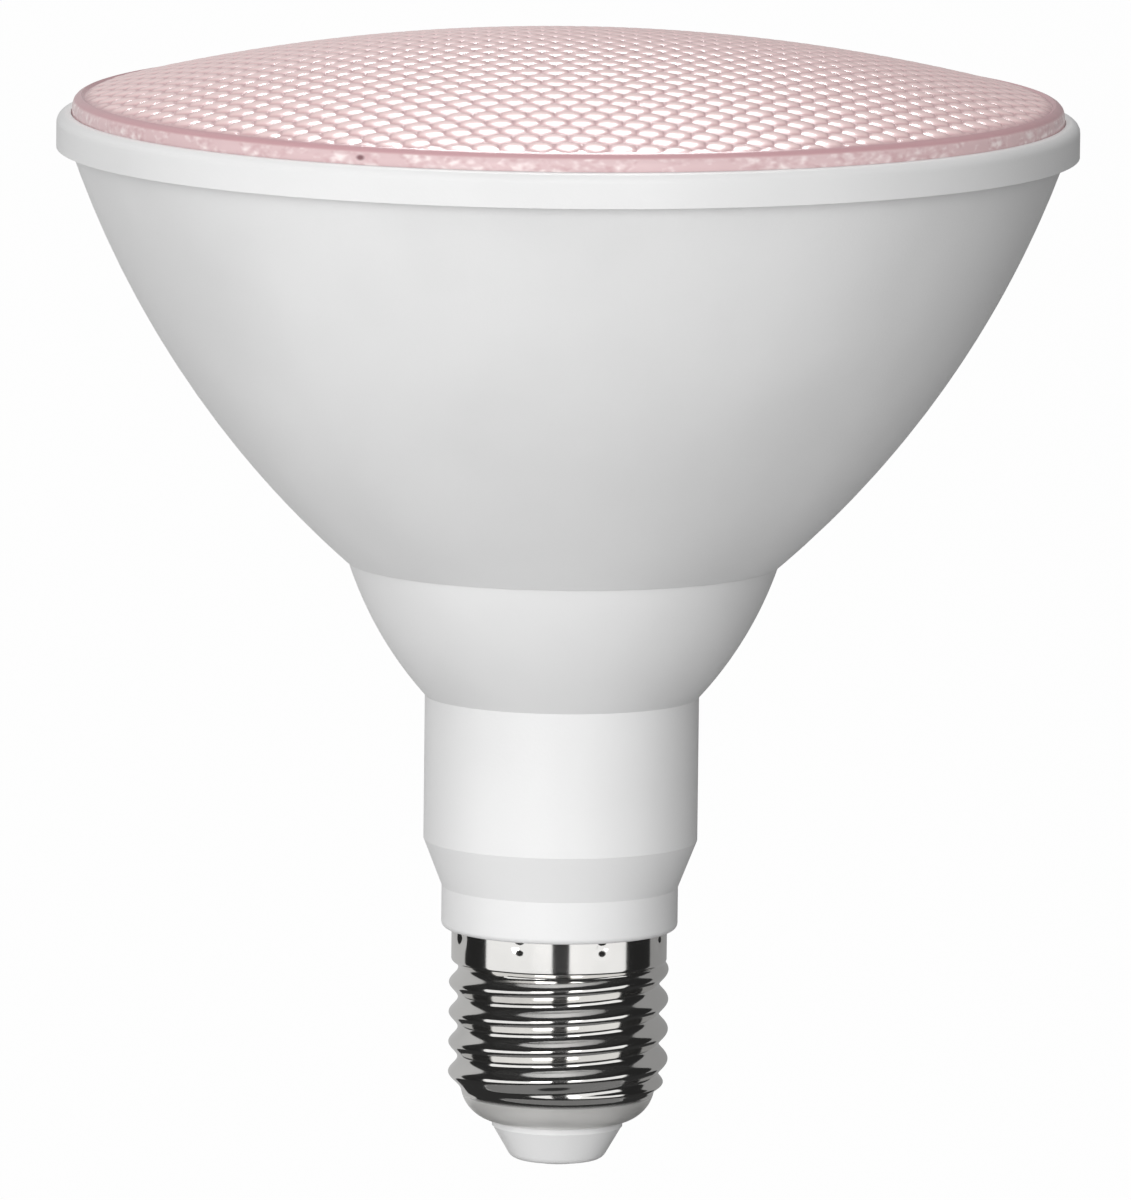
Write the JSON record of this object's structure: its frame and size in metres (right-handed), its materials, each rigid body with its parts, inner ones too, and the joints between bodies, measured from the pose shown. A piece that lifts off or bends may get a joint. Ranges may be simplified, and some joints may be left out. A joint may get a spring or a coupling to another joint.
{
  "type": "grow light bulb",
  "caption": "Reflector-shaped LED grow lamp: domed pink prismatic lens in a snap ring, white bowl and neck, threaded metal screw cap below.",
  "frame": {"origin": "tip of the centre contact, on the lamp's axis", "axes": "+Z along the lamp's axis from the cap to the lens; +X to the right of the view shown"},
  "size_m": [0.1222, 0.1222, 0.1359],
  "materials": {
    "lens_plastic": "pink-tinted clear moulded plastic with a hexagonal lenslet pattern",
    "white_plastic": "satin white moulded plastic",
    "reflector_white": "white reflector",
    "aluminium": "plain pressed aluminium",
    "pad_silicone": "soft thermal pad",
    "board_white": "white solder resist on aluminium",
    "led_phosphor": "white package with yellow phosphor",
    "led_red": "white package with a red chip",
    "led_blue": "white package with a blue chip",
    "ivory_plastic": "ivory moulded plastic",
    "screw_steel": "zinc-plated steel",
    "wire_red": "red insulation",
    "wire_black": "black insulation",
    "wire_brown": "brown insulation",
    "wire_blue": "blue insulation",
    "board_green": "green circuit board",
    "ferrite": "dark grey ferrite",
    "copper_winding": "taped copper winding",
    "black_plastic": "black moulded plastic",
    "capacitor_sleeve": "dark blue sleeve",
    "film_red": "red dipped film capacitor",
    "resistor_body": "tan resistor body",
    "cap_metal": "bright nickel-plated sheet metal",
    "insulator_white": "pale grey-white insulator",
    "contact_metal": "plated rivet"
  },
  "bodies": {
    "root": {"lens": "lens_plastic", "bezel_ring": "white_plastic", "bowl": "white_plastic", "reflector": "reflector_white", "heat_sink": "aluminium", "thermal_pad": "pad_silicone", "led_board": "board_white", "leds_white": "led_phosphor", "leds_red": "led_red", "leds_blue": "led_blue", "board_terminal": "ivory_plastic", "board_screws": "screw_steel", "led_wire_red": "wire_red", "led_wire_black": "wire_black", "driver_board": "board_green", "transformer_core": "ferrite", "transformer_winding": "copper_winding", "transformer_bobbin": "black_plastic", "input_capacitor": "capacitor_sleeve", "output_capacitor": "capacitor_sleeve", "film_capacitor": "film_red", "choke": "ferrite", "rectifier": "black_plastic", "driver_chip": "black_plastic", "chip_resistors": "black_plastic", "fuse_resistor": "resistor_body", "live_wire": "wire_brown", "neutral_wire": "wire_blue", "driver_housing": "white_plastic", "screw_shell": "cap_metal", "insulator": "insulator_white", "centre_contact": "contact_metal"}
  },
  "joints": []
}
